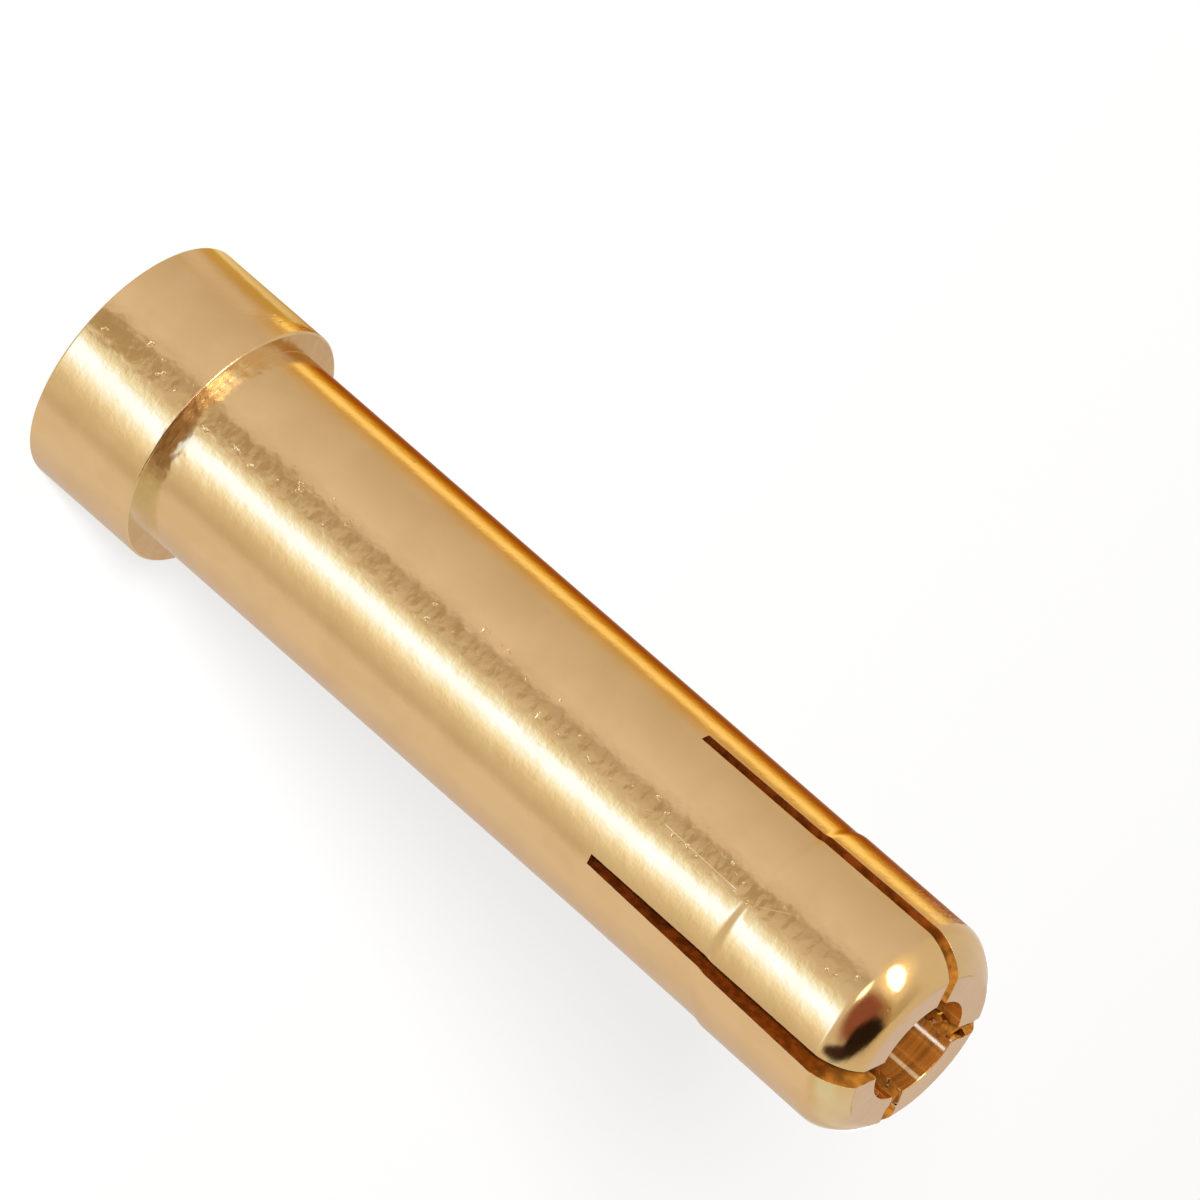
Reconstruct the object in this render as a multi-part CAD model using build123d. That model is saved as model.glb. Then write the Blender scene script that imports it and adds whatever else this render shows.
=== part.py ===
from build123d import *
from math import cos, radians, sin, tan
import os

# Battery lead connector: one turned, bored and slotted piece of gold-plated brass.
# It stands on its collar end, with +Z along its axis to the slotted nose.
# The origin is the centre of the collar's end face. Sizes in millimetres, angles in degrees.

# Barrel, and the contact section that stands slightly out of it
overall_length = 23.4
barrel_diameter = 5.0
contact_rise = 0.045
contact_length = 3.0
contact_lead_length = 0.12

# Collar, which stands out of the barrel by its lip
collar_lip = 0.5
collar_length = 3.0
collar_edge_radius = 0.05
shoulder_fillet_radius = 0.06

# Socket, opened to a cone at its mouth
socket_diameter = 4.0
mouth_lead_width = 0.19
mouth_lead_depth = 0.4
drill_point_angle = 118.0

# Rounded nose and the smaller hole through it
nose_length = 0.84
nose_round_width = 0.63
nose_edge_turn = 14.0
nose_hole_diameter = 2.45
nose_hole_length = 3.2

# Saw cuts that make the spring prongs, a little wider at the tip where the prongs are sprung apart
saw_cuts = 2
slot_length = 7.4
slot_root_width = 0.27
slot_tip_width = 0.36

# Radii
barrel_radius = barrel_diameter / 2
collar_radius = barrel_radius + collar_lip
contact_radius = barrel_radius + contact_rise
nose_face_radius = contact_radius - nose_round_width
socket_radius = socket_diameter / 2
mouth_radius = socket_radius + mouth_lead_width
nose_hole_radius = nose_hole_diameter / 2

# Heights along the axis
nose_start = overall_length - nose_length
contact_start = nose_start - contact_length
barrel_end = contact_start - contact_lead_length
slot_root = overall_length - slot_length

# The drill's point leaves a cone between the socket and the nose hole.
drill_point_length = (socket_radius - nose_hole_radius) / tan(radians(drill_point_angle / 2))
nose_hole_start = overall_length - nose_hole_length
socket_end = nose_hole_start - drill_point_length


def corners_at(section, places):
    """The corners of a section that lie at the given places."""
    return [section.vertices().sort_by_distance((*place, 0))[0] for place in places]


def half_section():
    """Half of the turned section, with the radius along X and the height along Y."""
    collar_rims = [(collar_radius, 0), (collar_radius, collar_length)]
    shoulder_root = (barrel_radius, collar_length)
    nose_edge = (contact_radius, nose_start)
    nose_tip = (nose_face_radius, overall_length)
    nose_turn = radians(nose_edge_turn)
    with BuildSketch() as section:
        with BuildLine():
            Polyline(
                nose_tip,
                (nose_hole_radius, overall_length),
                (nose_hole_radius, nose_hole_start),
                (socket_radius, socket_end),
                (socket_radius, mouth_lead_depth),
                (mouth_radius, 0),
                *collar_rims,
                shoulder_root,
                (barrel_radius, barrel_end),
                (contact_radius, contact_start),
                nose_edge,
            )
            TangentArc(nose_edge, nose_tip, tangent=(-sin(nose_turn), cos(nose_turn)))
        make_face()
        fillet(corners_at(section, collar_rims), collar_edge_radius)
        fillet(corners_at(section, [shoulder_root]), shoulder_fillet_radius)
    return section.sketch


def turned_blank():
    """The half section turned about the axis."""
    return revolve(Plane.XZ * half_section(), Axis.Z)


def saw_cut():
    """What one pass of the saw removes: a thin wedge right across the nose, widest at the tip."""
    overrun = slot_tip_width
    flare = (slot_tip_width - slot_root_width) / slot_length
    open_width = slot_tip_width + flare * overrun
    with BuildSketch(Plane.XZ) as wedge:
        with BuildLine():
            Polyline(
                (-slot_root_width / 2, slot_root),
                (slot_root_width / 2, slot_root),
                (open_width / 2, overall_length + overrun),
                (-open_width / 2, overall_length + overrun),
                close=True,
            )
        make_face()
    return extrude(wedge.sketch, 2 * contact_radius, both=True)


connector = turned_blank()
for cut in range(saw_cuts):
    connector -= Rot(0, 0, 180 / saw_cuts * cut) * saw_cut()

os.makedirs("parts", exist_ok=True)
export_step(connector, "parts/slotted_connector.step")
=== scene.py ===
import math
from types import SimpleNamespace

import bpy
from mathutils import Matrix, Vector


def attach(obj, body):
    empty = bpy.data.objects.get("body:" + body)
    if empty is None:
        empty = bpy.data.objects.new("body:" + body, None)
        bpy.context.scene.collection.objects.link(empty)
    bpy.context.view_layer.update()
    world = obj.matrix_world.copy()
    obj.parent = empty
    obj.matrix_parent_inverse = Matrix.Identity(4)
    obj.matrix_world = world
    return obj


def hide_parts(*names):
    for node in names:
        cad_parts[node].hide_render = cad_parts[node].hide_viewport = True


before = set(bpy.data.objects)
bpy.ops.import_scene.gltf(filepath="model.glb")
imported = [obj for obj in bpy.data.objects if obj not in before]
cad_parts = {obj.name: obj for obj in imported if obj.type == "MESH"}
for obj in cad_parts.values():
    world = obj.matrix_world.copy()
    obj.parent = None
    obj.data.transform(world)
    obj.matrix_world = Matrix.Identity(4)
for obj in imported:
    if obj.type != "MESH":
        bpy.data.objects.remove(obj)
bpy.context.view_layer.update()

# Sizes of the turned connector in millimetres, along the radius or up the axis
COLLAR_RADIUS = 3.0
COLLAR_LENGTH = 3.0
COLLAR_EDGE = 0.05
BARREL_RADIUS = 2.5
BARREL_END = 19.27
CONTACT_RADIUS = 2.545
CONTACT_START = 19.58
NOSE_START = 22.56
NOSE_EDGE_TURN = 14.0
NOSE_EDGE_ROUND = 0.6
NOSE_FACE_RADIUS = 1.915
NOSE_FACE_ROUND = 0.2
OVERALL_LENGTH = 23.4
NOSE_HOLE_RADIUS = 1.225
NOSE_HOLE_START = 20.2
NOSE_HOLE_EDGE = 0.03
SOCKET_RADIUS = 2.0
SOCKET_END = 19.734
MOUTH_RADIUS = 2.19
MOUTH_DEPTH = 0.4

# Shares of the contact section's rise and of its step's length, in a soft S
STEP_CURVE = (
    (0.05, 0.16), (0.13, 0.14), (0.2, 0.13), (0.24, 0.14),
    (0.2, 0.13), (0.13, 0.14), (0.05, 0.16),
)

# Saw cuts through the nose, in millimetres: width and sideways shift, each at the root and at the tip
SLOT_ROOT = 16.0
FIRST_CUT = (0.245, 0.06, 0.305, -0.008)
SECOND_CUT = (0.263, -0.046, 0.39, 0.066)
# the blade's sides waver all along and are ragged where it runs out of the nose hole
BLADE_OVERRUN = 0.4
BLADE_REACH = 7.0
BLADE_RINGS = 74
BLADE_COLUMNS = 46
BLADE_LONG_EDGE = 1.0
BLADE_CHATTER = 0.006
BURR_FROM = 22.6
BURR_SPAN = (-2.1, -0.8)
BURR_SIZE = 0.075
FIRST_SEED = 3
SECOND_SEED = 8
# one prong is sprung out a little, by degrees, from just under the slots' root
PRONG_HINGE = 15.9
PRONG_SPLAY = 0.5
# what moves begins this far above a root or a hinge
CLEAR_OF = 0.05

# Mesh fineness, with welds in millimetres
STEPS_ROUND = 288
EDGE_STEPS = 12
DOME_STEPS = 28
SMOOTH_UP_TO = math.radians(12)
TURNED_WELD = 0.0004
SAWN_WELD = 0.002
METRES = 0.001
ORIGIN = (0.0, 0.0, 0.0)
# a place off the axis, by distance from which the sawn mesh is put in order
ORDER_FROM = (7.13, 3.71, 11.9)


# Modelling the connector as it is made: turned from its profile, then sawn

def profile_from(name, radius, height):
    """Starts a profile in the XZ plane with one point."""
    bpy.ops.object.select_all(action="DESELECT")
    bpy.ops.mesh.primitive_plane_add(size=1, location=ORIGIN)
    piece = bpy.context.object
    piece.name = name
    piece.data.name = name
    bpy.ops.object.mode_set(mode="EDIT")
    bpy.ops.mesh.select_mode(type="VERT")
    bpy.ops.mesh.select_all(action="SELECT")
    bpy.ops.mesh.merge(type="CENTER")
    bpy.ops.transform.translate(value=(radius, 0, height))
    return piece


def line_by(outward, upward):
    """Draws the profile on in a straight line."""
    bpy.ops.mesh.extrude_vertices_move(TRANSFORM_OT_translate={"value": (outward, 0, upward)})


def arc_about(radius, height, degrees, steps):
    """Draws the profile on in an arc about a centre, anticlockwise with the axis to the left."""
    bpy.ops.mesh.spin(
        steps=steps, angle=math.radians(degrees), center=(radius, 0, height), axis=(0, 1, 0))


def dome_arc():
    """Start, centre and sweep of the nose's arc, and centre and sweep of the round at its face."""
    turn = math.radians(NOSE_EDGE_TURN)
    begin = NOSE_START - NOSE_EDGE_ROUND * math.tan(turn / 2)
    out = CONTACT_RADIUS - NOSE_EDGE_ROUND * (1 - math.cos(turn))
    up = begin + NOSE_EDGE_ROUND * math.sin(turn)
    across = NOSE_FACE_RADIUS - out
    along = OVERALL_LENGTH - up
    inward = (-math.cos(turn), -math.sin(turn))
    radius = (across ** 2 + along ** 2) / (2 * (across * inward[0] + along * inward[1]))
    centre = (out + radius * inward[0], up + radius * inward[1])
    # the face's round touches the arc from inside and the face from below
    inner_up = OVERALL_LENGTH - NOSE_FACE_ROUND
    inner_out = centre[0] + math.sqrt((radius - NOSE_FACE_ROUND) ** 2 - (inner_up - centre[1]) ** 2)
    touch = math.degrees(math.atan2(inner_up - centre[1], inner_out - centre[0]))
    return begin, centre, touch - NOSE_EDGE_TURN, (inner_out, inner_up), 90 - touch


def turned_blank():
    """The whole section drawn as one closed profile and turned about the axis."""
    piece = profile_from("gold_connector", MOUTH_RADIUS, 0)
    # collar: end face, lower edge, wall, upper edge
    line_by(COLLAR_RADIUS - COLLAR_EDGE - MOUTH_RADIUS, 0)
    arc_about(COLLAR_RADIUS - COLLAR_EDGE, COLLAR_EDGE, 90, EDGE_STEPS)
    line_by(0, COLLAR_LENGTH - 2 * COLLAR_EDGE)
    arc_about(COLLAR_RADIUS - COLLAR_EDGE, COLLAR_LENGTH - COLLAR_EDGE, 90, EDGE_STEPS)
    # shoulder and barrel
    line_by(BARREL_RADIUS - COLLAR_RADIUS + COLLAR_EDGE, 0)
    line_by(0, PRONG_HINGE - COLLAR_LENGTH)
    line_by(0, BARREL_END - PRONG_HINGE)
    # contact section and the rounded nose
    rise = CONTACT_RADIUS - BARREL_RADIUS
    step_length = CONTACT_START - BARREL_END
    for outward_share, upward_share in STEP_CURVE:
        line_by(rise * outward_share, step_length * upward_share)
    edge_begin, centre, sweep, face_centre, face_sweep = dome_arc()
    line_by(0, edge_begin - CONTACT_START)
    arc_about(CONTACT_RADIUS - NOSE_EDGE_ROUND, edge_begin, NOSE_EDGE_TURN, EDGE_STEPS)
    arc_about(*centre, sweep, DOME_STEPS)
    arc_about(*face_centre, face_sweep, EDGE_STEPS)
    # nose face, the hole through it, the drill point's cone, the socket and its mouth
    line_by(NOSE_HOLE_RADIUS + NOSE_HOLE_EDGE - face_centre[0], 0)
    arc_about(NOSE_HOLE_RADIUS + NOSE_HOLE_EDGE, OVERALL_LENGTH - NOSE_HOLE_EDGE, 90, EDGE_STEPS)
    line_by(0, NOSE_HOLE_START - OVERALL_LENGTH + NOSE_HOLE_EDGE)
    line_by(SOCKET_RADIUS - NOSE_HOLE_RADIUS, SOCKET_END - NOSE_HOLE_START)
    line_by(0, PRONG_HINGE - SOCKET_END)
    line_by(0, MOUTH_DEPTH - PRONG_HINGE)
    line_by(MOUTH_RADIUS - SOCKET_RADIUS, -MOUTH_DEPTH)
    bpy.ops.mesh.select_all(action="SELECT")
    bpy.ops.mesh.spin(steps=STEPS_ROUND, angle=2 * math.pi, center=ORIGIN, axis=(0, 0, 1))
    bpy.ops.mesh.select_all(action="SELECT")
    bpy.ops.mesh.remove_doubles(threshold=TURNED_WELD)
    bpy.ops.mesh.normals_make_consistent(inside=False)
    bpy.ops.object.mode_set(mode="OBJECT")
    return piece


def take_up(piece):
    """Makes a piece the only one that is selected, and the active one."""
    bpy.ops.object.select_all(action="DESELECT")
    piece.select_set(True)
    bpy.context.view_layer.objects.active = piece


def select_points(piece, keep):
    """Selects the points of a piece for whose place keep is true, and stays in edit mode."""
    bpy.ops.object.mode_set(mode="EDIT")
    bpy.ops.mesh.select_mode(type="VERT")
    bpy.ops.mesh.select_all(action="DESELECT")
    bpy.ops.object.mode_set(mode="OBJECT")
    for point in piece.data.vertices:
        point.select = keep(point.co)
    bpy.ops.object.mode_set(mode="EDIT")


def select_edges(piece, keep):
    """Selects the edges of a piece for whose span keep is true, and stays in edit mode."""
    points = piece.data.vertices
    spans = [points[a].co - points[b].co for a, b in (edge.vertices for edge in piece.data.edges)]
    bpy.ops.object.mode_set(mode="EDIT")
    bpy.ops.mesh.select_mode(type="EDGE")
    bpy.ops.mesh.select_all(action="DESELECT")
    bpy.ops.object.mode_set(mode="OBJECT")
    for edge, span in zip(piece.data.edges, spans):
        edge.select = keep(span)
    bpy.ops.object.mode_set(mode="EDIT")


def saw_blade(name, degrees, cut, seed):
    """The room that one pass of the saw takes: a thin wedge, wider at the tip, with uneven sides."""
    root_width, root_shift, tip_width, tip_shift = cut
    length = OVERALL_LENGTH - SLOT_ROOT + BLADE_OVERRUN
    overshoot = length / (length - BLADE_OVERRUN)
    open_width = root_width + (tip_width - root_width) * overshoot
    open_lean = (tip_shift - root_shift) * overshoot
    bpy.ops.object.select_all(action="DESELECT")
    bpy.ops.mesh.primitive_cube_add(size=1, location=ORIGIN)
    blade = bpy.context.object
    blade.name = name
    bpy.ops.object.mode_set(mode="EDIT")
    bpy.ops.mesh.select_all(action="SELECT")
    bpy.ops.transform.resize(value=(BLADE_REACH, root_width, length), center_override=ORIGIN)
    bpy.ops.transform.translate(value=(0, root_shift, SLOT_ROOT + length / 2))
    select_points(blade, lambda co: co.z > OVERALL_LENGTH)
    bpy.ops.transform.resize(value=(1, open_width / root_width, 1), center_override=(0, root_shift, 0))
    bpy.ops.transform.translate(value=(0, open_lean, 0))
    bpy.ops.object.mode_set(mode="OBJECT")
    select_edges(blade, lambda span: abs(span.z) > BLADE_LONG_EDGE)
    bpy.ops.mesh.subdivide(number_cuts=BLADE_RINGS)
    bpy.ops.object.mode_set(mode="OBJECT")
    select_edges(blade, lambda span: abs(span.x) > BLADE_LONG_EDGE)
    bpy.ops.mesh.subdivide(number_cuts=BLADE_COLUMNS)
    select_points(blade, lambda co: co.z > SLOT_ROOT + CLEAR_OF)
    bpy.ops.transform.vertex_random(offset=BLADE_CHATTER, uniform=0, normal=0, seed=seed)
    select_points(blade, lambda co: co.z > BURR_FROM and BURR_SPAN[0] < co.x < BURR_SPAN[1])
    bpy.ops.transform.vertex_random(offset=BURR_SIZE, uniform=0, normal=0, seed=seed + 1)
    bpy.ops.mesh.select_all(action="SELECT")
    bpy.ops.transform.rotate(value=-math.radians(degrees), orient_axis="Z", center_override=ORIGIN)
    bpy.ops.object.mode_set(mode="OBJECT")
    return blade


def saw(piece, blade):
    """Takes a blade's room out of the piece."""
    take_up(piece)
    cut = piece.modifiers.new(blade.name, "BOOLEAN")
    cut.operation = "DIFFERENCE"
    cut.solver = "EXACT"
    cut.object = blade
    bpy.ops.object.modifier_apply(modifier=cut.name)
    bpy.data.objects.remove(blade)


def spring_out(piece):
    """Tilts the prong between the +Y and -X slots outwards about its foot."""
    take_up(piece)
    select_points(piece, lambda co: co.x < 0 < co.y and co.z > PRONG_HINGE + CLEAR_OF)
    foot = (-NOSE_HOLE_RADIUS / 2, NOSE_HOLE_RADIUS / 2, PRONG_HINGE)
    tilt = math.radians(PRONG_SPLAY) * math.sqrt(0.5)
    bpy.ops.transform.rotate(value=tilt, orient_axis="Y", center_override=foot)
    bpy.ops.transform.rotate(value=tilt, orient_axis="X", center_override=foot)
    bpy.ops.object.mode_set(mode="OBJECT")


def finish_mesh(piece):
    """Cleans the sawn edges, brings the piece to metres and smooths its turned faces."""
    take_up(piece)
    bpy.ops.object.mode_set(mode="EDIT")
    bpy.ops.mesh.select_all(action="SELECT")
    # sawing leaves the points and faces in any order, and the weld depends on it
    bpy.context.scene.cursor.location = ORDER_FROM
    bpy.ops.mesh.sort_elements(type="CURSOR_DISTANCE", elements={"VERT", "EDGE", "FACE"})
    bpy.context.scene.cursor.location = ORIGIN
    bpy.ops.mesh.remove_doubles(threshold=SAWN_WELD)
    bpy.ops.mesh.dissolve_degenerate(threshold=SAWN_WELD)
    # the many-sided faces along the cuts are split evenly
    bpy.ops.mesh.select_all(action="DESELECT")
    bpy.ops.mesh.select_mode(type="FACE")
    bpy.ops.mesh.select_face_by_sides(number=4, type="GREATER")
    bpy.ops.mesh.quads_convert_to_tris(quad_method="BEAUTY", ngon_method="BEAUTY")
    bpy.ops.mesh.select_all(action="SELECT")
    bpy.ops.transform.resize(value=(METRES, METRES, METRES), center_override=ORIGIN)
    bpy.ops.object.mode_set(mode="OBJECT")
    bpy.ops.object.shade_smooth_by_angle(angle=SMOOTH_UP_TO)
    flats = piece.modifiers.new("flats_stay_flat", "WEIGHTED_NORMAL")
    flats.keep_sharp = True
    bpy.ops.object.modifier_apply(modifier=flats.name)


connector = turned_blank()
saw(connector, saw_blade("first_saw_cut", 0, FIRST_CUT, FIRST_SEED))
saw(connector, saw_blade("second_saw_cut", 90, SECOND_CUT, SECOND_SEED))
spring_out(connector)
finish_mesh(connector)


# Node helpers

WHITE = (1.0, 1.0, 1.0, 1.0)
WHOLE = (0.0, 1.0)


def empty_tree(owner):
    """The node tree of a material or a world, cleared."""
    owner.use_nodes = True
    owner.node_tree.nodes.clear()
    return owner.node_tree


def feed(tree, socket, value):
    """Links an output to a socket, or sets a plain value on it."""
    if isinstance(value, bpy.types.NodeSocket):
        tree.links.new(value, socket)
    else:
        socket.default_value = value


def maths(tree, operation, *values):
    """One math node."""
    node = tree.nodes.new("ShaderNodeMath")
    node.operation = operation
    for socket, value in zip(node.inputs, values):
        feed(tree, socket, value)
    return node.outputs[0]


def total(tree, first, *others):
    """Values added together."""
    for other in others:
        first = maths(tree, "ADD", first, other)
    return first


def product(tree, first, *others):
    """Values multiplied together."""
    for other in others:
        first = maths(tree, "MULTIPLY", first, other)
    return first


def less(tree, value, taken):
    """One value taken from another."""
    return maths(tree, "SUBTRACT", value, taken)


def away_from(tree, value, middle):
    """How far a value lies from a middle, to either side."""
    return maths(tree, "ABSOLUTE", less(tree, value, middle))


def reach(tree, across, along):
    """How far a flat place lies from its centre."""
    return maths(tree, "SQRT", total(tree, product(tree, across, across), product(tree, along, along)))


def degrees_round(tree, x, y):
    """Degrees round the upright axis, from the X axis."""
    return maths(tree, "DEGREES", maths(tree, "ARCTAN2", y, x))


def parts(tree, vector):
    """The three parts of a vector."""
    node = tree.nodes.new("ShaderNodeSeparateXYZ")
    tree.links.new(vector, node.inputs[0])
    return node.outputs


def ranged(tree, value, span, ends, smooth=True):
    """A value mapped from a span to two ends, and held beyond them."""
    node = tree.nodes.new("ShaderNodeMapRange")
    node.interpolation_type = "SMOOTHSTEP" if smooth else "LINEAR"
    numbers = {"From Min": span[0], "From Max": span[1], "To Min": ends[0], "To Max": ends[1]}
    for name, number in numbers.items():
        feed(tree, node.inputs[name], number)
    feed(tree, node.inputs["Value"], value)
    return node.outputs["Result"]


def rising(tree, value, span):
    """0 before a span, 1 past it."""
    return ranged(tree, value, span, (0.0, 1.0))


def falling(tree, value, span):
    """1 before a span, 0 past it."""
    return ranged(tree, value, span, (1.0, 0.0))


def mixed(tree, share, first, second, blend="MIX"):
    """Two colours mixed, or the first multiplied by the second."""
    node = tree.nodes.new("ShaderNodeMix")
    node.data_type = "RGBA"
    node.blend_type = blend
    feed(tree, node.inputs["Factor"], share)
    feed(tree, node.inputs["A"], first)
    feed(tree, node.inputs["B"], second)
    return node.outputs["Result"]


def noise(tree, vector, scale, detail, roughness):
    """Noise between about 0.2 and 0.8."""
    node = tree.nodes.new("ShaderNodeTexNoise")
    feed(tree, node.inputs["Vector"], vector)
    node.inputs["Scale"].default_value = scale
    node.inputs["Detail"].default_value = detail
    node.inputs["Roughness"].default_value = roughness
    return node.outputs["Fac"]


def ramp(tree, value, span, stops):
    """A value within a span looked up in a row of colour stops."""
    node = tree.nodes.new("ShaderNodeValToRGB")
    points = node.color_ramp.elements
    while len(points) < len(stops):
        points.new(0.5)
    for point, (at, colour) in zip(points, stops):
        point.position = (at - span[0]) / (span[1] - span[0])
        point.color = (*colour, 1.0)
    tree.links.new(ranged(tree, value, span, WHOLE, smooth=False), node.inputs["Fac"])
    return node.outputs["Color"]


def scaled(tree, colour, factor):
    """A colour made lighter or darker."""
    node = tree.nodes.new("ShaderNodeVectorMath")
    node.operation = "SCALE"
    tree.links.new(colour, node.inputs[0])
    tree.links.new(factor, node.inputs["Scale"])
    return node.outputs[0]


def layered(tree, share, first, second):
    """Shows a material as two shaders mixed."""
    both = tree.nodes.new("ShaderNodeMixShader")
    tree.links.new(share, both.inputs["Fac"])
    tree.links.new(first.outputs[0], both.inputs[1])
    tree.links.new(second.outputs[0], both.inputs[2])
    out = tree.nodes.new("ShaderNodeOutputMaterial")
    tree.links.new(both.outputs[0], out.inputs["Surface"])


# Gold plate over fine-turned brass: heights, radii and widths in metres, angles in degrees round the axis

PALE_GOLD = (0.765, 0.49, 0.23, 1.0)
DEEP_GOLD = (0.73, 0.46, 0.207, 1.0)
TONE_SPAN = (0.35, 0.65)
# the plate's patterns: how many to the metre, detail and roughness
GRAIN = (11000.0, 2.0, 0.5)
WAVES = (3600.0, 1.0, 0.4)
SCUFFS = (4200.0, 2.0, 0.5)
CLOUDS = (900.0, 3.0, 0.5)
# turning lines, drawn out round the axis
TURNING = (1.0, 3.0, 0.6)
TURNING_STRETCH = (220.0, 220.0, 9000.0)
# roughness, and what each adds to it
PLATE_ROUGHNESS = 0.06
GRAIN_ROUGHNESS = 0.05
CLOUD_ROUGHNESS = 0.04
SAWN_ROUGHNESS = 0.34
FOOT_ROUGHNESS = 0.12
# sawn walls face neither out along the radius nor up the axis, by shares of their normal
SAWN_OUTWARD = (0.3, 0.45)
SAWN_UPWARD = (0.3, 0.5)
# their colour is painted shade, by height: dark brown at the slots' deep root and golden at the open tip
SAWN_SPAN = (0.016, 0.0234)
PAINTED_SLOT_SHADE = (
    (0.016, (0.075, 0.012, 0.001)),
    (0.0215, (0.145, 0.026, 0.002)),
    (0.0226, (0.18, 0.04, 0.003)),
    (0.0232, (0.36, 0.13, 0.016)),
)
SAWN_MATT = 0.9
SCUFF_SPAN = (0.3, 0.7)
SCUFF_SHADE = (0.6, 1.35)
# the nose hole's wall is partly matt, in streaks, in a brown that is painted shade
DRILLED_RADII = (0.00122, 0.00125)
DRILLED_HEIGHTS = (0.0198, 0.0202)
PAINTED_HOLE_SHADE = (0.50, 0.16, 0.022, 1.0)
STREAK_SPAN = (0.3, 0.7)
STREAK_MATT = (0.2, 0.45)
# a painted highlight, a line of reflected light, runs down that wall: its place, and where its edge begins
# and ends
HIGHLIGHT_LINE_AT = -150.5
HIGHLIGHT_LINE_EDGE = (1.28, 3.2)
PAINTED_HIGHLIGHT_LINE = (0.60, 0.40, 0.20, 1.0)
HIGHLIGHT_LINE_MATT = 0.25
# the shoulder and the foot of the barrel are left dull and lumpy by the tool's corner
FOOT_BEGINS = (0.0029, 0.00298)
FOOT_ENDS = (0.0032, 0.0036)
LUMP_SPAN = (30.0, 60.0)
LUMP_DEPTHS = (4.0, 0.8)
# a strip along the barrel is worn: its place, and where its edge begins and ends
WORN_AT = 45.5
WORN_EDGE = (6.6, 11.0)
# depths of the unevenness, in shares of the bump's; of two, the second is that of the worn strip
BUMP_DEPTH = 5.0e-6
GRAIN_DEPTH = 0.4
TURNING_DEPTH = 0.2
WAVE_MIDDLE = 0.5
WAVE_DEPTHS = (0.8, 2.2)
DENT_DEPTH = 1.5
DENT_RARITY = (0.77, 0.66)
DENT_EDGE = 0.09
# long scratches: start and end as degrees round the axis and height
SCRATCHES = (
    ((50.9, 0.0168), (52.2, 0.0192)),
    ((51.7, 0.01968), (43.4, 0.02036)),
)
SCRATCH_WIDTH = 1.3e-5
SCRATCH_FADE = 0.2
# the nose is rubbed smoother
RUBBED_HEIGHTS = (0.0223, 0.0226)
RUBBED_DEPTHS = (1.0, 0.3)
# sharp edges are broken by a hair
EDGE_BREAK = 2.0e-5
EDGE_SAMPLES = 4


def plate_at(tree):
    """A point's place on the connector, and the plate's patterns there."""
    place = tree.nodes.new("ShaderNodeTexCoord").outputs["Object"]
    x, y, z = parts(tree, place)
    radius = reach(tree, x, y)
    # the tool's way goes up the axis on walls and out along the radius on faces
    tool_way = total(tree, z, radius)
    lathe = tree.nodes.new("ShaderNodeCombineXYZ")
    for socket, part, stretch in zip(lathe.inputs, (x, y, tool_way), TURNING_STRETCH):
        feed(tree, socket, product(tree, part, stretch))
    return SimpleNamespace(
        x=x, y=y, z=z,
        radius=radius,
        around=degrees_round(tree, x, y),
        turning=noise(tree, lathe.outputs[0], *TURNING),
        grain=noise(tree, place, *GRAIN),
        waves=noise(tree, place, *WAVES),
        scuffs=noise(tree, place, *SCUFFS),
        clouds=noise(tree, place, *CLOUDS),
    )


def sawn_walls(tree, at):
    """1 on the sawn walls, 0 elsewhere."""
    nx, ny, nz = parts(tree, tree.nodes.new("ShaderNodeNewGeometry").outputs["Normal"])
    outward = total(tree, product(tree, nx, at.x), product(tree, ny, at.y))
    outward = maths(tree, "ABSOLUTE", maths(tree, "DIVIDE", outward, at.radius))
    upward = maths(tree, "ABSOLUTE", nz)
    return product(tree, falling(tree, outward, SAWN_OUTWARD), falling(tree, upward, SAWN_UPWARD))


def matt_layer_with_painted_light(tree, at, sawn):
    """Colour and share of the matt layer on sawn walls and in the nose hole: painted shade, with a painted
    highlight line in the hole.
    """
    shade = ranged(tree, at.scuffs, SCUFF_SPAN, SCUFF_SHADE)
    # painted shade on the sawn walls, darkest at the slots' root
    brown = scaled(tree, ramp(tree, at.z, SAWN_SPAN, PAINTED_SLOT_SHADE), shade)
    # the nose hole's wall: painted shade, with a painted highlight line down it
    drilled = product(tree, falling(tree, at.radius, DRILLED_RADII), rising(tree, at.z, DRILLED_HEIGHTS))
    highlight_line = falling(tree, away_from(tree, at.around, HIGHLIGHT_LINE_AT), HIGHLIGHT_LINE_EDGE)
    wall = mixed(tree, highlight_line, PAINTED_HOLE_SHADE, PAINTED_HIGHLIGHT_LINE)
    streaks = total(tree, ranged(tree, at.turning, STREAK_SPAN, STREAK_MATT),
                    product(tree, highlight_line, HIGHLIGHT_LINE_MATT))
    matt = maths(tree, "MAXIMUM", product(tree, sawn, SAWN_MATT), product(tree, drilled, streaks))
    return mixed(tree, sawn, wall, brown), matt


def scratch(tree, at, start, end):
    """1 along a straight line over the contact section's unrolled wall, 0 beside it."""
    arc = math.radians(1) * BARREL_RADIUS * METRES
    line = Vector(((end[0] - start[0]) * arc, end[1] - start[1]))
    way = line.normalized()
    across = product(tree, less(tree, at.around, start[0]), arc)
    along = less(tree, at.z, start[1])
    gone = total(tree, product(tree, across, way.x), product(tree, along, way.y))
    beside = less(tree, product(tree, across, way.y), product(tree, along, way.x))
    near = falling(tree, maths(tree, "ABSOLUTE", beside), (0.0, SCRATCH_WIDTH))
    begun = rising(tree, gone, (0.0, SCRATCH_FADE * line.length))
    ended = falling(tree, gone, ((1 - SCRATCH_FADE) * line.length, line.length))
    return product(tree, near, product(tree, begun, ended))


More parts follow.
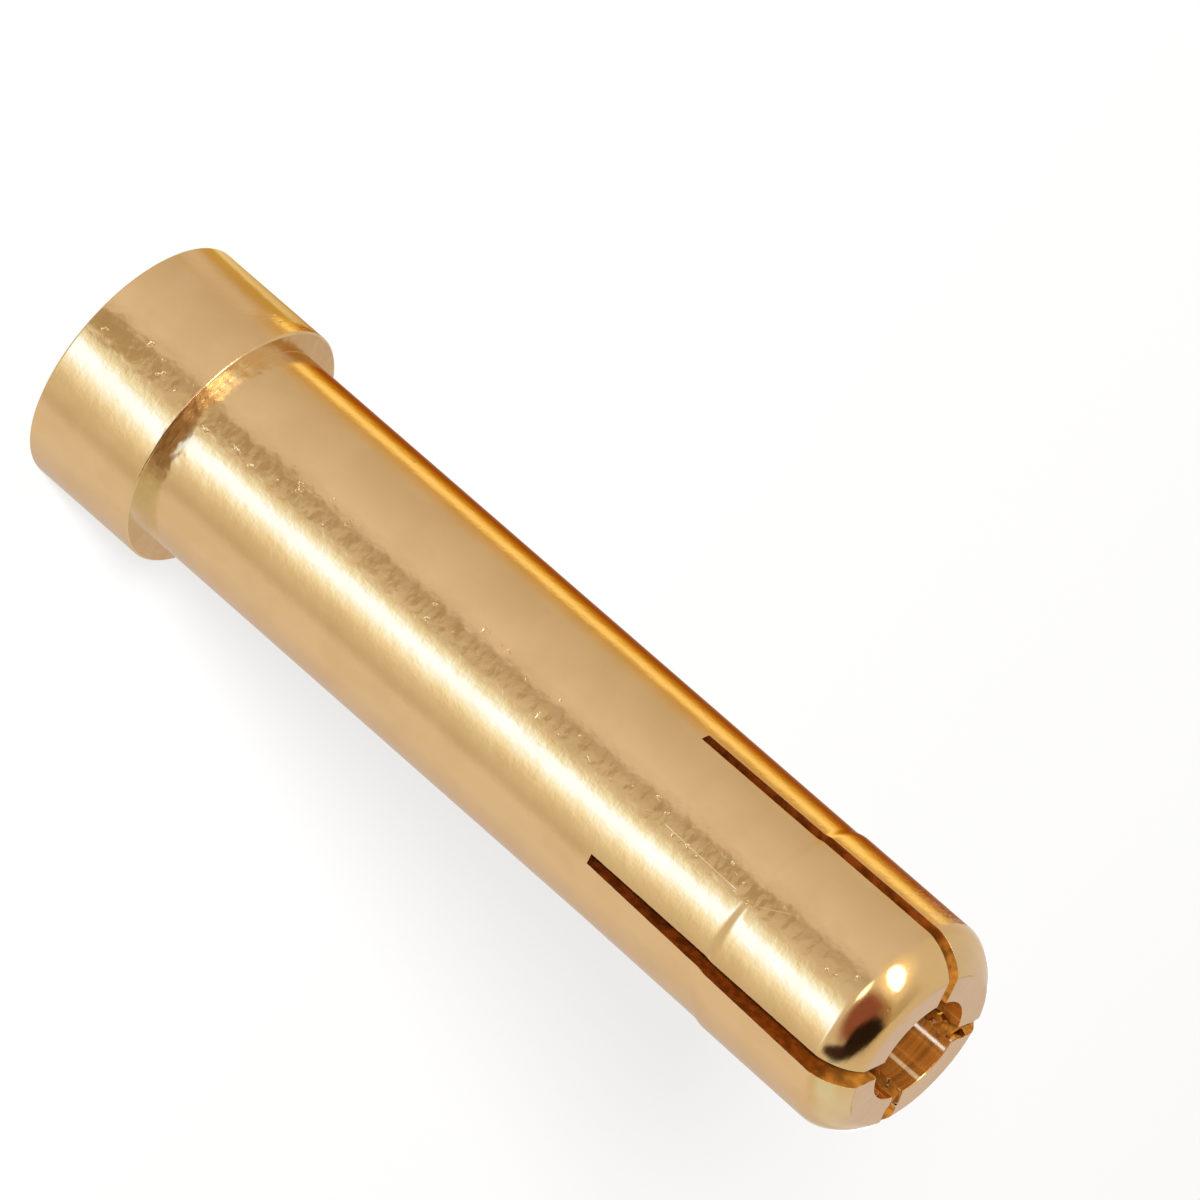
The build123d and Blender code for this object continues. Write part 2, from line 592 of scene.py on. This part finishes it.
def unevenness(tree, at, foot):
    """The plate's height: grain, waves, turning lines, small dents and two long scratches."""
    from_worn = away_from(tree, at.around, WORN_AT)
    worn = falling(tree, from_worn, WORN_EDGE)
    lumps = product(tree, foot, ranged(tree, from_worn, LUMP_SPAN, LUMP_DEPTHS))
    wave_depth = total(tree, ranged(tree, worn, WHOLE, WAVE_DEPTHS), lumps)
    rough = product(tree, less(tree, at.waves, WAVE_MIDDLE), wave_depth)
    height = total(tree, product(tree, at.grain, GRAIN_DEPTH), rough,
                   product(tree, at.turning, TURNING_DEPTH))
    rarity = ranged(tree, worn, WHOLE, DENT_RARITY)
    dents = rising(tree, at.scuffs, (rarity, total(tree, rarity, DENT_EDGE)))
    height = less(tree, height, product(tree, dents, DENT_DEPTH))
    for start, end in SCRATCHES:
        height = less(tree, height, scratch(tree, at, start, end))
    return product(tree, height, ranged(tree, at.z, RUBBED_HEIGHTS, RUBBED_DEPTHS))


def gold_plate():
    """Bright plate whose tone and gloss drift a little, matt where it is cut through, with painted shade
    on the matt walls and a painted highlight line in the nose hole.
    """
    material = bpy.data.materials.new("gold_plate")
    tree = empty_tree(material)
    plate = tree.nodes.new("ShaderNodeBsdfPrincipled")
    painted_matt = tree.nodes.new("ShaderNodeBsdfDiffuse")
    at = plate_at(tree)
    sawn = sawn_walls(tree, at)
    foot = product(tree, rising(tree, at.z, FOOT_BEGINS), falling(tree, at.z, FOOT_ENDS))
    tone = mixed(tree, rising(tree, at.clouds, TONE_SPAN), DEEP_GOLD, PALE_GOLD)
    tree.links.new(tone, plate.inputs["Base Color"])
    plate.inputs["Metallic"].default_value = 1.0
    gloss = total(tree, product(tree, at.grain, GRAIN_ROUGHNESS),
                  product(tree, at.clouds, CLOUD_ROUGHNESS), PLATE_ROUGHNESS)
    dull = total(tree, product(tree, sawn, SAWN_ROUGHNESS), product(tree, foot, FOOT_ROUGHNESS))
    tree.links.new(total(tree, gloss, dull), plate.inputs["Roughness"])
    edges = tree.nodes.new("ShaderNodeBevel")
    edges.samples = EDGE_SAMPLES
    edges.inputs["Radius"].default_value = EDGE_BREAK
    bump = tree.nodes.new("ShaderNodeBump")
    bump.inputs["Strength"].default_value = 1.0
    bump.inputs["Distance"].default_value = BUMP_DEPTH
    tree.links.new(unevenness(tree, at, foot), bump.inputs["Height"])
    tree.links.new(edges.outputs["Normal"], bump.inputs["Normal"])
    tree.links.new(bump.outputs["Normal"], plate.inputs["Normal"])
    colour, matt = matt_layer_with_painted_light(tree, at, sawn)
    tree.links.new(colour, painted_matt.inputs["Color"])
    layered(tree, matt, plate, painted_matt)
    return material


connector.data.materials.clear()
connector.data.materials.append(gold_plate())
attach(connector, "root")
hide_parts("slotted_connector")


# Camera at the photograph's viewing angle

CAMERA_LENS = 360
CAMERA_SENSOR = 36
CAMERA_CLIPS = (0.01, 10)
CAMERA_PLACE = (
    (0.34176393, 0.75297529, 0.56233943, 0.14164369),
    (-0.63053666, -0.25997873, 0.73132386, 0.17987202),
    (0.69686508, -0.60451574, 0.38592717, 0.10736699),
    (0, 0, 0, 1),
)


def camera():
    """A long lens at the place that fits the connector's outlines."""
    eye = bpy.data.cameras.new("camera")
    eye.lens = CAMERA_LENS
    eye.sensor_width = CAMERA_SENSOR
    eye.clip_start, eye.clip_end = CAMERA_CLIPS
    holder = bpy.data.objects.new("camera", eye)
    bpy.context.scene.collection.objects.link(holder)
    holder.matrix_world = Matrix(CAMERA_PLACE)
    bpy.context.scene.camera = holder


camera()


# Light tent: what the metal reflects, by azimuth from the camera's side and by height, in degrees

CAMERA_AZIMUTH = 52.44
WALL_LIGHT = (0.58, 0.54, 0.50, 1.0)
# the low ring, which the collar, the barrel and the contact section face
RING_SPAN = (-180, 180)
LOW_RING = (
    (-180, (0.60, 0.50, 0.40)),
    (-170, (0.40, 0.22, 0.12)),
    (-157, (0.34, 0.08, 0.01)),
    (-147, (0.45, 0.13, 0.005)),
    (-140, (0.65, 0.30, 0.01)),
    (-134, (0.94, 0.62, 0.11)),
    (-128, (1.30, 1.06, 0.40)),
    (-123, (1.40, 1.22, 0.55)),
    (-114, (0.77, 0.55, 0.20)),
    (-98, (0.76, 0.72, 0.62)),
    (-89, (0.76, 0.75, 0.74)),
    (-33, (0.93, 0.95, 0.98)),
    (-23, (0.87, 0.88, 0.90)),
    (-17, (0.62, 0.60, 0.57)),
    (-5, (0.78, 0.80, 0.77)),
    (3, (0.82, 0.85, 0.83)),
    (59, (0.84, 0.86, 0.82)),
    (71, (0.75, 0.75, 0.71)),
    (83, (0.92, 0.94, 0.97)),
    (110, (0.90, 0.91, 0.94)),
    (180, (0.60, 0.50, 0.40)),
)
# a dark place in it that only the collar faces
COLLAR_DARK_OVAL = ((-8, -30), (10, 60), 0.5)
COLLAR_DARK_ENDS = (-25.0, -23.2)
COLLAR_DARK_SHARE = 0.75
COLLAR_DARK = (0.50, 0.44, 0.29, 1.0)
# its warm end stops short of the nose, and a pale wall takes its place on both sides of the back
WARM_ENDS = (-20.6, -19.4)
WARM_LEFT = (-112, -100)
WARM_RIGHT = (150, 172)
PAST_WARM = (0.80, 0.78, 0.70, 1.0)
# the long soft box, by leaning azimuth: how much brighter than the ring, cooler where it is brightest
STRIP_SPAN = (0.0, 64.0)
STRIP_LEAN = 0.84
STRIP_LEANS_ABOUT = -22.7
STRIP_BEGINS = (-44, -27)
STRIP_ENDS = (-14, -6)
LONG_STRIP = (
    (0, (1.0, 1.0, 1.0)),
    (7, (1.1, 1.12, 1.15)),
    (15, (1.5, 1.85, 2.2)),
    (22, (1.8, 2.7, 5.2)),
    (29, (1.8, 2.7, 5.2)),
    (40, (1.55, 1.85, 2.2)),
    (47, (1.3, 1.38, 1.48)),
    (55, (1.06, 1.09, 1.09)),
    (64, (1.0, 1.0, 1.0)),
)
# above the ring: pale walls and a duller ceiling
RING_ENDS = (-6, 4)
PALE_WALL = (0.84, 0.84, 0.77, 1.0)
CEILING = (0.60, 0.56, 0.38, 1.0)
CEILING_HEIGHTS = (50, 84)
CEILING_SIDES = (80, 120)
# soft ovals laid over the tent: middle, half spans, softness and colour
SIDE_WALLS = (
    ((-138, 24), (34, 20), 0.6, (0.80, 0.84, 0.88)),
    ((138, 24), (34, 20), 0.6, (0.86, 0.94, 0.98)),
    ((92, 25), (30, 14), 0.5, (0.86, 1.06, 1.12)),
)
# the same behind, by degrees to either side: two walls, and a soft box that lights the far side
BACK_WALLS = (
    ((0, 16), (30, 12), 0.4, (0.78, 0.79, 0.90)),
    ((0, 27), (12, 4.5), 0.3, (0.60, 0.52, 0.42)),
)
BACK_BOX = (
    ((0, -11.5), (11, 6), 0.35, (1.6, 2.0, 2.9)),
)
# what the nose faces: a brown and a dark part of the room, pale places and, last, the small soft box
ROOM = (
    ((-6, 60), (18, 25), 0.6, (0.44, 0.30, 0.16)),
    ((12, 33), (34, 26), 0.35, (0.33, 0.13, 0.095)),
    ((38, 63), (36, 22), 0.3, (0.024, 0.015, 0.01)),
    ((45, 47), (25, 14), 0.35, (0.024, 0.015, 0.01)),
    ((59, 38), (11, 22), 0.35, (0.03, 0.018, 0.012)),
    ((57, 22), (7, 20), 0.4, (0.05, 0.025, 0.02)),
    ((-40, 29), (21, 28), 0.65, (1.3, 1.22, 0.95)),
    ((-7, 3), (10, 6), 0.5, (3.8, 3.8, 3.8)),
    ((-39.5, 29), (9.5, 18.5), 0.3, (12.0, 12.0, 12.0)),
)
# gold that mirrors gold, at the shoulder, reddens: the tent is cooler there and its boxes wide and dim
CORNER = (
    ((-48, 24), (18, 30), 0.6, (1.25, 1.65, 2.1)),
    ((34, 24), (36, 30), 0.35, (0.42, 0.33, 0.23)),
    ((-150, 24), (28, 30), 0.4, (0.48, 0.25, 0.04)),
)
CORNER_TINT = (1.15, 1.55, 2.4, 1.0)
CORNER_BAND = ((0, 24), (720, 10), 0.3)
# a ray's depth is 2 once it is mirrored and 3 once it is mirrored again
MIRRORED_AGAIN = 2.5


def oval(tree, azimuth, height, at, half, soft):
    """1 inside a soft oval on the tent, 0 outside it."""
    across = maths(tree, "DIVIDE", less(tree, azimuth, at[0]), half[0])
    upward = maths(tree, "DIVIDE", less(tree, height, at[1]), half[1])
    return falling(tree, reach(tree, across, upward), (1 - soft, 1 + soft))


def with_ovals(tree, colour, azimuth, height, ovals):
    """A colour with soft ovals of other colours laid over it in turn."""
    for at, half, soft, other in ovals:
        colour = mixed(tree, oval(tree, azimuth, height, at, half, soft), colour, (*other, 1.0))
    return colour


def low_part(tree, azimuth, height, behind):
    """The low ring with the long soft box across it and the soft box behind."""
    ring = ramp(tree, azimuth, RING_SPAN, LOW_RING)
    dark = product(tree, oval(tree, azimuth, height, *COLLAR_DARK_OVAL), COLLAR_DARK_SHARE)
    dark = product(tree, falling(tree, height, COLLAR_DARK_ENDS), dark)
    ring = mixed(tree, dark, ring, COLLAR_DARK)
    sides = maths(tree, "MAXIMUM", falling(tree, azimuth, WARM_LEFT), rising(tree, azimuth, WARM_RIGHT))
    ring = mixed(tree, product(tree, rising(tree, height, WARM_ENDS), sides), ring, PAST_WARM)
    # the long soft box leans a little, so that its edges cross the turning lines
    lean = product(tree, less(tree, height, STRIP_LEANS_ABOUT), STRIP_LEAN)
    strip = ramp(tree, less(tree, azimuth, lean), STRIP_SPAN, LONG_STRIP)
    share = product(tree, falling(tree, height, STRIP_ENDS), rising(tree, height, STRIP_BEGINS))
    low = mixed(tree, share, ring, strip, "MULTIPLY")
    return with_ovals(tree, low, behind, height, BACK_BOX)


def high_part(tree, azimuth, height, sideways, behind):
    """The walls and the ceiling."""
    share = product(tree, rising(tree, height, CEILING_HEIGHTS), falling(tree, sideways, CEILING_SIDES))
    above = mixed(tree, share, PALE_WALL, CEILING)
    above = with_ovals(tree, above, azimuth, height, SIDE_WALLS)
    return with_ovals(tree, above, behind, height, BACK_WALLS)


def light_tent():
    """The world: white to the camera, a plain level to the floor, and the tent to the metal."""
    world = bpy.data.worlds.new("light_tent")
    bpy.context.scene.world = world
    tree = empty_tree(world)
    turn = tree.nodes.new("ShaderNodeMapping")
    turn.inputs["Rotation"].default_value = (0, 0, -math.radians(CAMERA_AZIMUTH))
    tree.links.new(tree.nodes.new("ShaderNodeTexCoord").outputs["Generated"], turn.inputs["Vector"])
    x, y, z = parts(tree, turn.outputs[0])
    azimuth = degrees_round(tree, x, y)
    height = maths(tree, "DEGREES", maths(tree, "ARCSINE", z))
    sideways = maths(tree, "ABSOLUTE", azimuth)
    behind = less(tree, 180.0, sideways)
    low = low_part(tree, azimuth, height, behind)
    above = high_part(tree, azimuth, height, sideways, behind)
    tent = mixed(tree, rising(tree, height, RING_ENDS), low, above)
    tent = with_ovals(tree, tent, azimuth, height, ROOM)
    corner = with_ovals(tree, above, azimuth, height, CORNER)
    corner = mixed(tree, 1.0, corner, CORNER_TINT, "MULTIPLY")
    path = tree.nodes.new("ShaderNodeLightPath")
    again = product(tree, maths(tree, "GREATER_THAN", path.outputs["Ray Depth"], MIRRORED_AGAIN),
                    oval(tree, azimuth, height, *CORNER_BAND))
    tent = mixed(tree, again, tent, corner)
    lit = mixed(tree, path.outputs["Is Camera Ray"], WALL_LIGHT, WHITE)
    seen = mixed(tree, path.outputs["Is Glossy Ray"], lit, tent)
    sky = tree.nodes.new("ShaderNodeBackground")
    tree.links.new(seen, sky.inputs["Color"])
    out = tree.nodes.new("ShaderNodeOutputWorld")
    tree.links.new(sky.outputs[0], out.inputs["Surface"])


light_tent()


# Low warm card that only the collar's far edge mirrors: sizes in metres, colours by degrees round the axis

CARD_RADIUS = 0.0148
CARD_RIM = 0.0012
CARD_HEIGHT = -0.003
CARD_SIDES = 96
CARD_SPAN = (-92.0, -30.0)
CARD_BEGINS = (-108.0, -92.0)
CARD_ENDS = (-38.0, -30.0)
CARD_COLOURS = (
    (-92, (0.78, 0.56, 0.17)),
    (-78, (0.98, 0.85, 0.48)),
    (-73, (0.69, 0.49, 0.10)),
    (-61, (0.69, 0.51, 0.19)),
    (-47, (0.82, 0.79, 0.72)),
    (-30, (0.77, 0.75, 0.71)),
)


def low_card():
    """A glowing sector of a disc, soft at its rim and ends, which the camera doesn't see."""
    bpy.ops.object.select_all(action="DESELECT")
    bpy.ops.mesh.primitive_circle_add(
        vertices=CARD_SIDES, radius=CARD_RADIUS, fill_type="NGON", location=(0, 0, CARD_HEIGHT))
    card = bpy.context.object
    card.name = "low_card"
    card.visible_camera = False
    card.visible_diffuse = False
    card.visible_shadow = False
    card.visible_transmission = False
    material = bpy.data.materials.new("warm_card")
    tree = empty_tree(material)
    x, y, _ = parts(tree, tree.nodes.new("ShaderNodeTexCoord").outputs["Object"])
    around = degrees_round(tree, x, y)
    within = product(tree, rising(tree, around, CARD_BEGINS), falling(tree, around, CARD_ENDS),
                     falling(tree, reach(tree, x, y), (CARD_RADIUS - CARD_RIM, CARD_RADIUS)))
    clear = tree.nodes.new("ShaderNodeBsdfTransparent")
    glow = tree.nodes.new("ShaderNodeEmission")
    tree.links.new(ramp(tree, around, CARD_SPAN, CARD_COLOURS), glow.inputs["Color"])
    layered(tree, within, clear, glow)
    card.data.materials.append(material)


low_card()


# Pale floor that keeps a faint shadow

FLOOR_SIZE = 4
PAPER = (0.96, 0.95, 0.93, 1.0)
PAPER_GLOW = 0.6


def floor():
    """White paper, part of whose white doesn't depend on the light."""
    bpy.ops.object.select_all(action="DESELECT")
    bpy.ops.mesh.primitive_plane_add(size=FLOOR_SIZE, location=ORIGIN)
    paper = bpy.context.object
    paper.name = "floor"
    paper.visible_glossy = False
    material = bpy.data.materials.new("white_paper")
    tree = empty_tree(material)
    matt = tree.nodes.new("ShaderNodeBsdfDiffuse")
    matt.inputs["Color"].default_value = PAPER
    glow = tree.nodes.new("ShaderNodeEmission")
    glow.inputs["Color"].default_value = WHITE
    path = tree.nodes.new("ShaderNodeLightPath")
    layered(tree, product(tree, path.outputs["Is Camera Ray"], PAPER_GLOW), matt, glow)
    paper.data.materials.append(material)


floor()


# Soft lamp beside the camera: it throws the shadow, and the metal doesn't mirror it

LAMP_AZIMUTH = 47.9
LAMP_HEIGHT = 24.0
LAMP_DISTANCE = 0.5
LAMP_SIZE = 0.07
LAMP_POWER = 3.8
LAMP_COLOUR = (0.92, 1.0, 1.08)


def soft_lamp():
    """A round lamp that faces the connector's foot."""
    light = bpy.data.lights.new("soft_lamp", "AREA")
    light.shape = "DISK"
    light.size = LAMP_SIZE
    light.energy = LAMP_POWER
    light.color = LAMP_COLOUR
    holder = bpy.data.objects.new("soft_lamp", light)
    bpy.context.scene.collection.objects.link(holder)
    holder.visible_glossy = False
    round_by = math.radians(LAMP_AZIMUTH)
    up_by = math.radians(LAMP_HEIGHT)
    flat = math.cos(up_by)
    away = Vector((math.cos(round_by) * flat, math.sin(round_by) * flat, math.sin(up_by)))
    holder.location = away * LAMP_DISTANCE
    holder.rotation_euler = away.to_track_quat("Z", "Y").to_euler()


soft_lamp()

# Light goes many times from wall to wall in the slots and the bores
LIGHT_BOUNCES = 16
bpy.context.scene.cycles.max_bounces = LIGHT_BOUNCES
bpy.context.scene.cycles.glossy_bounces = LIGHT_BOUNCES

bpy.context.scene.view_settings.view_transform = "Standard"
